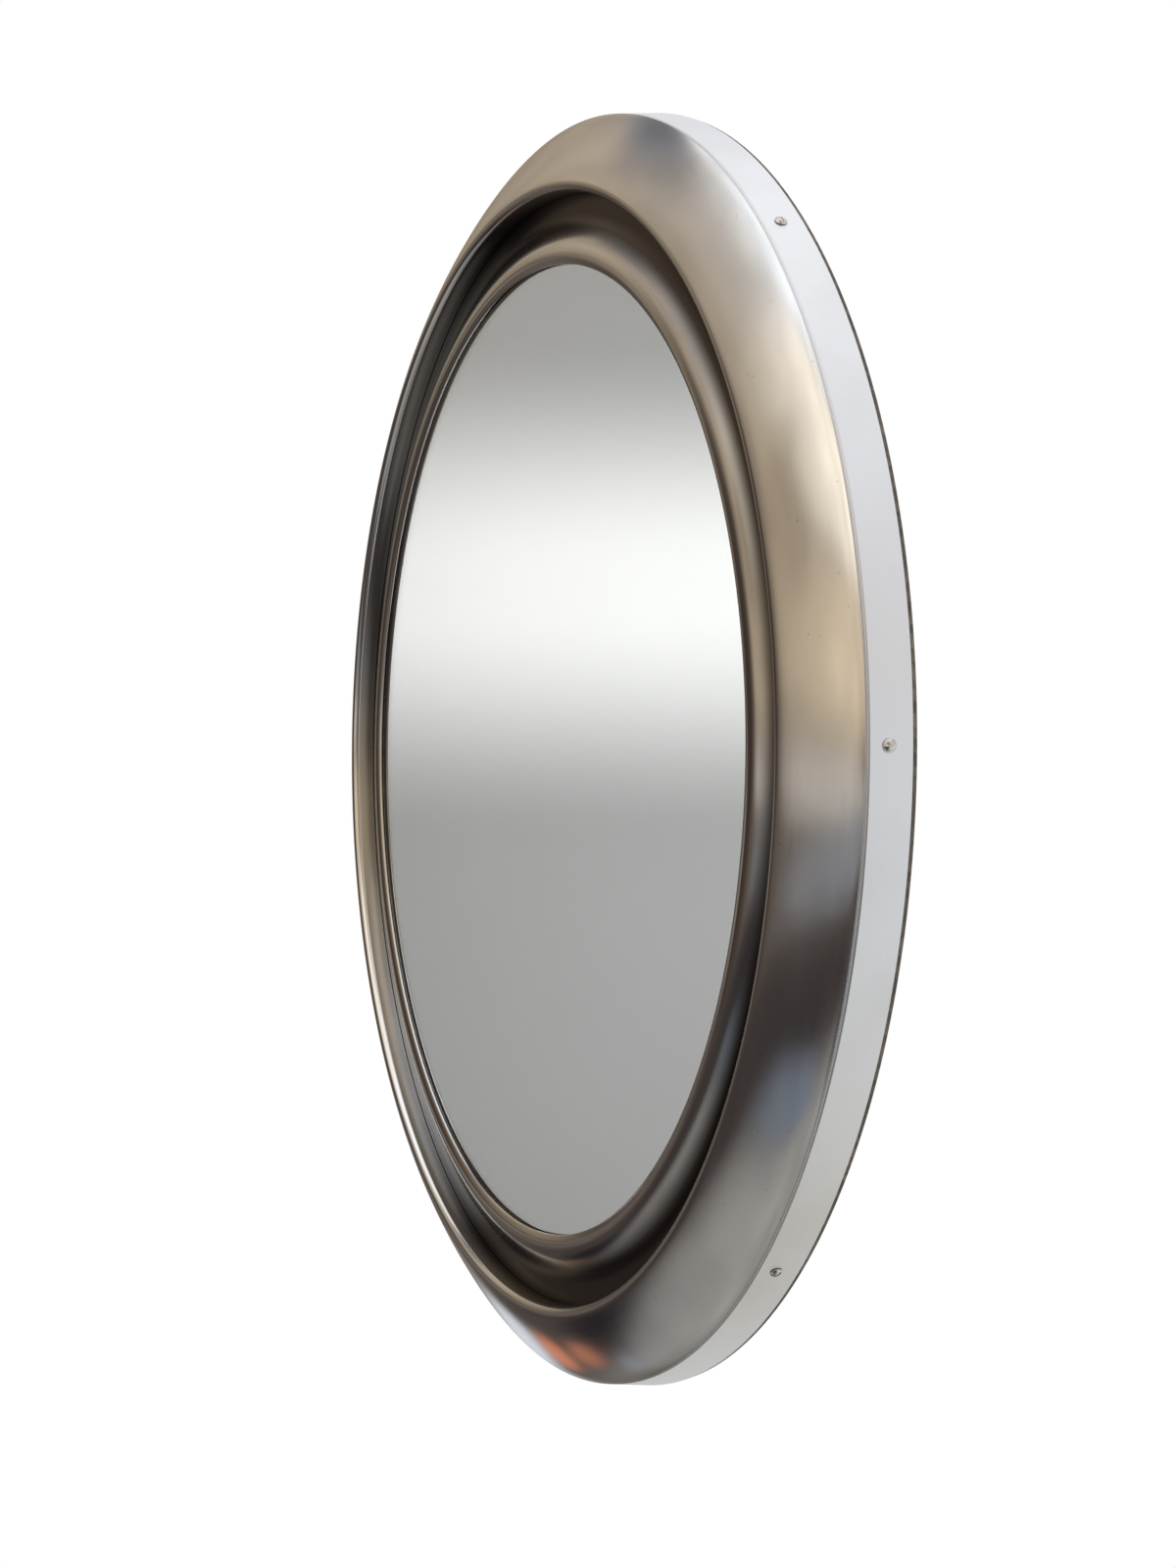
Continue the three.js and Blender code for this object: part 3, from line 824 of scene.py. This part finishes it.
def make_world():
    """A pale studio behind, and in front a room with a bright window above and dark furniture below.

    Azimuth is 0 towards -Y and grows towards +X, and both angles are in degrees.
    """
    world = bpy.data.worlds.new("studio")
    bpy.context.scene.world = world
    world.use_nodes = True
    nodes = Nodes(world.node_tree)
    background = world.node_tree.nodes["Background"]
    x, y, z = nodes.split(nodes.add("ShaderNodeTexCoord").outputs["Generated"])
    azimuth = nodes.math("DEGREES", nodes.math("ARCTAN2", x, nodes.math("MULTIPLY", y, -1)))
    elevation = nodes.math("DEGREES", nodes.math("ARCSINE", z))
    height = nodes.spread(elevation, -90, 90)

    def at(degrees):
        return (degrees + 90) / 180

    room = nodes.ramp(height, [
        (at(-90), srgb(110, 108, 105)),
        (at(-45), srgb(140, 140, 138)),
        (at(-30), srgb(75, 68, 66)),
        (at(-5), srgb(100, 92, 84)),
        (at(10), srgb(135, 122, 105)),
        (at(30), srgb(165, 152, 135)),
        (at(45), srgb(175, 165, 155)),
        (at(60), srgb(235, 238, 240)),
        (at(90), srgb(220, 220, 220)),
    ])
    studio = nodes.ramp(height, [
        (at(-90), srgb(190, 188, 180)),
        (at(-60), srgb(212, 211, 206)),
        (at(-10), srgb(226, 231, 236)),
        (at(15), srgb(222, 219, 216)),
        (at(45), srgb(240, 242, 248)),
        (at(65), srgb(250, 252, 255, 1.08)),
        (at(90), srgb(250, 252, 255, 1.1)),
    ])

    def soft_ellipse(centre_azimuth, centre_elevation, half_width, half_height, tilt=0.0):
        """1 inside an ellipse of directions, falling smoothly to 0 outside it."""
        across = nodes.math("SUBTRACT", azimuth, centre_azimuth)
        up = nodes.math("SUBTRACT", elevation, centre_elevation)
        c, s = math.cos(math.radians(tilt)), math.sin(math.radians(tilt))
        u = nodes.math("ADD", nodes.math("MULTIPLY", across, c), nodes.math("MULTIPLY", up, s))
        v = nodes.math("SUBTRACT", nodes.math("MULTIPLY", up, c), nodes.math("MULTIPLY", across, s))
        u = nodes.math("DIVIDE", u, half_width)
        v = nodes.math("DIVIDE", v, half_height)
        distance = nodes.math("ADD", nodes.math("MULTIPLY", u, u), nodes.math("MULTIPLY", v, v))
        return nodes.math("EXPONENT", nodes.math("MULTIPLY", nodes.math("MULTIPLY", distance, distance), -1))

    patches = [
        # azimuth, elevation, half width, half height, tilt, colour
        (0, 66, 70, 25, -10, srgb(242, 246, 252, 1.15)),  # white window overhead
        (22, 34, 36, 15, -5, srgb(250, 240, 225, 1.1)),  # cream glow in front
        (22, 10, 36, 10, 0, srgb(210, 194, 170)),  # beige wall
        (-10, 20, 8, 10, 0, srgb(160, 145, 125)),  # its post
        (16, -4, 30, 4, -5, srgb(190, 184, 178)),  # pale sill
        (-95, 0, 24, 10, 0, srgb(75, 68, 64)),  # dark corner to the left
        (-40, 2, 24, 23, 0, srgb(60, 50, 45)),  # dark brown opening straight ahead
        (-58, -3, 9, 4, 0, srgb(130, 125, 120)),  # grey bar across it
        (20, -12, 28, 5, 0, srgb(130, 132, 138)),  # blue-grey shelf under the sill
        (-20, -24, 60, 8, 0, srgb(58, 52, 52)),  # dark low furniture
        (-68, -34, 14, 6, 0, srgb(38, 34, 38)),  # near-black skirting
        (-20, -52, 46, 15, 0, srgb(150, 149, 146)),  # grey floor
        (-5, -34, 12, 5, -10, srgb(110, 118, 130)),  # slate sheen on it
        (44, -38, 18, 22, 0, srgb(70, 70, 76)),  # shade to the right
        (-90, -52, 18, 14, 0, srgb(100, 95, 90)),  # shade to the left
        (-108, -28, 12, 14, 0, srgb(170, 166, 165)),  # low pale box
        (-100, -22, 9, 3, -30, srgb(210, 216, 224)),  # white paper on it
        (-90, -29, 4, 2.4, -30, srgb(205, 130, 100)),  # two small orange lamps
        (-81, -34, 4, 2, -30, srgb(175, 115, 90)),
        (-74, -41, 3, 2.5, -20, srgb(140, 145, 155)),  # pale spot beside them
        (-78, 47, 24, 8, -5, srgb(110, 112, 120)),  # grey shadow beside the window
    ]
    colour = room
    for *ellipse, tint in patches:
        colour = nodes.mix(soft_ellipse(*ellipse), colour, tint)
    right_of = nodes.spread(azimuth, -113, -108, 0, 1, smooth=True)
    left_of = nodes.spread(azimuth, 80, 92, 1, 0, smooth=True)
    colour = nodes.mix(nodes.math("MULTIPLY", right_of, left_of), studio, colour)

    direction = nodes.join(x, y, z)
    cloud = nodes.spread(nodes.noise(direction, 5.5, 3, 0.6), 0.3, 0.7, 0.88, 1.26)
    colour = nodes.mix(1.0, colour, nodes.join(cloud, cloud, cloud), "MULTIPLY")

    # a card with one bright stripe, seen only in the mirror glass
    card_grey, card_white = srgb(183, 183, 183), srgb(255, 255, 255, 1.24)
    card = nodes.ramp(nodes.spread(elevation, -20, 20), [
        (0.462, card_grey),
        (0.600, card_white),
        (0.622, card_white),
        (0.760, card_grey),
    ], "EASE")
    path = nodes.add("ShaderNodeLightPath")
    through_glass = nodes.math("GREATER_THAN", path.outputs["Transmission Depth"], 0.5)
    near_card = soft_ellipse(-66, 0, 14, 18)
    colour = nodes.mix(nodes.math("MULTIPLY", near_card, through_glass), colour, card)

    seen = path.outputs["Is Camera Ray"]
    nodes.put(background.inputs["Color"], nodes.mix(seen, colour, (1, 1, 1, 1)))
    background.inputs["Strength"].default_value = 1.0


def make_floor():
    """A plain pale floor, well below the mirror, which hangs at eye height."""
    half = 1.5
    drop = 1.2
    bm = bmesh.new()
    bmesh.ops.create_grid(bm, x_segments=24, y_segments=24, size=half)
    mesh = bpy.data.meshes.new("floor")
    bm.to_mesh(mesh)
    bm.free()
    floor = bpy.data.objects.new("floor", mesh)
    floor.location = (0, 0, -drop)
    bpy.context.scene.collection.objects.link(floor)
    material, nodes, inputs = new_material("pale_floor", (0.78, 0.78, 0.77), 0.0, 0.7)
    patchy = nodes.noise(nodes.place(), 3, 4)
    nodes.put(inputs["Base Color"], nodes.mix(patchy, (0.76, 0.76, 0.75, 1), (0.81, 0.81, 0.80, 1)))
    floor.data.materials.append(material)
    floor.visible_glossy = False  # the rings reflect the studio, not the floor under them


def make_camera():
    """Level with the mirror, far round to its right, close enough for strong perspective."""
    azimuth, elevation, roll = (math.radians(a) for a in (66.81, -0.5, 0.22))
    distance = 1.247
    middle = Vector((0, -BAND_BACK, 0))
    away = Vector((
        math.sin(azimuth) * math.cos(elevation),
        -math.cos(azimuth) * math.cos(elevation),
        math.sin(elevation),
    ))
    aside, below = 2.7 * MM, 17.36 * MM
    aim = middle - Vector((aside * math.cos(azimuth), aside * math.sin(azimuth), below))
    camera = bpy.data.objects.new("camera", bpy.data.cameras.new("camera"))
    camera.data.sensor_width = 36
    camera.data.lens = 54.4
    place = middle + away * distance
    look = (aim - place).to_track_quat("-Z", "Y").to_matrix().to_4x4()
    camera.matrix_world = Matrix.Translation(place) @ look @ Matrix.Rotation(roll, 4, "Z")
    bpy.context.scene.collection.objects.link(camera)
    bpy.context.scene.camera = camera


make_world()
make_floor()
make_camera()
bpy.context.scene.view_settings.view_transform = "Standard"
